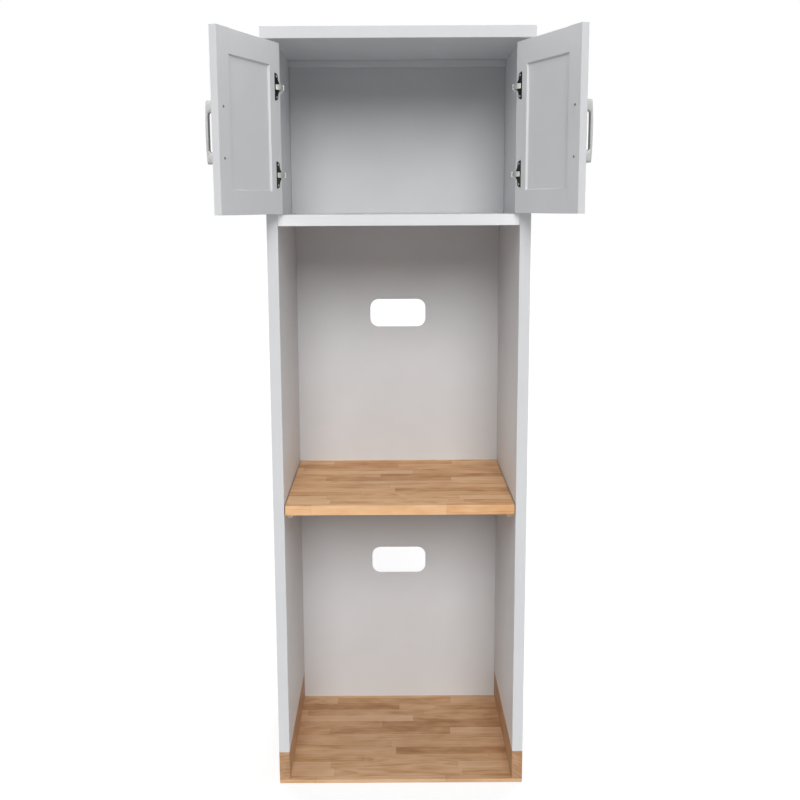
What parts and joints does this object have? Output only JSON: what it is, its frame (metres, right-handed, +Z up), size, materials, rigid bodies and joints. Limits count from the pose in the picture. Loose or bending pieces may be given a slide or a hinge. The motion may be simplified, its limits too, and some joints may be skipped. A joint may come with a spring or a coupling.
{
  "type": "washing machine cabinet",
  "caption": "Tall cabinet that holds washing machines one above the other, with a cupboard on top whose framed doors swing open on concealed hinges.",
  "frame": {"origin": "centre of the flat underside of the base board, midway between the front and rear edges of the side panels", "axes": "+Z up, -Y out of the front, where the doors are, and +X to the right as seen from the front"},
  "size_m": [1.0422, 0.9493, 2.4],
  "materials": {
    "white_melamine": "white melamine faced board, satin",
    "timber": "clear oiled timber",
    "pale_timber": "pale sealed timber",
    "satin_nickel": "satin nickel plate",
    "dark_nickel": "dark nickel plate"
  },
  "bodies": {
    "root": {"side_panel_left": "white_melamine", "side_panel_right": "white_melamine", "top_board": "white_melamine", "cupboard_floor": "white_melamine", "cupboard_back_panel": "white_melamine", "cupboard_back_rail": "white_melamine", "wall_fixing_rail": "white_melamine", "upper_bay_back_panel": "white_melamine", "lower_bay_back_panel": "white_melamine", "middle_shelf": "timber", "base_board": "timber", "base_block_left": "timber", "base_block_right": "timber", "shelf_cleat_left": "pale_timber", "shelf_cleat_right": "pale_timber", "left_lower_hinge_plate": "dark_nickel", "left_upper_hinge_plate": "dark_nickel", "left_lower_hinge_arm": "satin_nickel", "left_upper_hinge_arm": "satin_nickel", "right_lower_hinge_plate": "dark_nickel", "right_upper_hinge_plate": "dark_nickel", "right_lower_hinge_arm": "satin_nickel", "right_upper_hinge_arm": "satin_nickel"},
    "left_door": {"left_door_hinge_stile": "white_melamine", "left_door_free_stile": "white_melamine", "left_door_bottom_rail": "white_melamine", "left_door_top_rail": "white_melamine", "left_door_panel": "white_melamine", "left_door_handle": "satin_nickel", "left_lower_hinge_cup": "dark_nickel", "left_upper_hinge_cup": "dark_nickel"},
    "right_door": {"right_door_hinge_stile": "white_melamine", "right_door_free_stile": "white_melamine", "right_door_bottom_rail": "white_melamine", "right_door_top_rail": "white_melamine", "right_door_panel": "white_melamine", "right_door_handle": "satin_nickel", "right_lower_hinge_cup": "dark_nickel", "right_upper_hinge_cup": "dark_nickel"},
    "left_inner_links": {"left_lower_hinge_inner_link": "satin_nickel", "left_upper_hinge_inner_link": "satin_nickel"},
    "right_inner_links": {"right_lower_hinge_inner_link": "satin_nickel", "right_upper_hinge_inner_link": "satin_nickel"},
    "left_outer_links": {"left_lower_hinge_outer_link": "satin_nickel", "left_upper_hinge_outer_link": "satin_nickel"},
    "right_outer_links": {"right_lower_hinge_outer_link": "satin_nickel", "right_upper_hinge_outer_link": "satin_nickel"}
  },
  "joints": [
    {"name": "left_door_swing", "type": "hinge", "parent": "root", "child": "left_door", "pos_m": [-0.3676, -0.3, 2.10775], "axis": [0, 0, 1], "range_deg": [0, 111]},
    {"name": "right_door_swing", "type": "hinge", "parent": "root", "child": "right_door", "pos_m": [0.3676, -0.3, 2.10775], "axis": [0, 0, -1], "range_deg": [0, 111]},
    {"name": "left_inner_link_turn", "type": "hinge", "parent": "root", "child": "left_inner_links", "pos_m": [-0.35, -0.267, 2.10775], "axis": [0, 0, 1], "range_deg": [0, 111]},
    {"name": "right_inner_link_turn", "type": "hinge", "parent": "root", "child": "right_inner_links", "pos_m": [0.35, -0.267, 2.10775], "axis": [0, 0, -1], "range_deg": [0, 111]},
    {"name": "left_outer_link_turn", "type": "hinge", "parent": "left_inner_links", "child": "left_outer_links", "pos_m": [-0.34039, -0.29918, 2.10775], "axis": [0, 0, 1], "range_deg": [-111, 0]},
    {"name": "right_outer_link_turn", "type": "hinge", "parent": "right_inner_links", "child": "right_outer_links", "pos_m": [0.34039, -0.29918, 2.10775], "axis": [0, 0, -1], "range_deg": [-111, 0]}
  ],
  "couplings": [
    {"joint": "left_inner_link_turn", "follows": "left_door_swing", "ratio": 1},
    {"joint": "left_outer_link_turn", "follows": "left_door_swing", "ratio": -1},
    {"joint": "right_inner_link_turn", "follows": "right_door_swing", "ratio": 1},
    {"joint": "right_outer_link_turn", "follows": "right_door_swing", "ratio": -1}
  ]
}
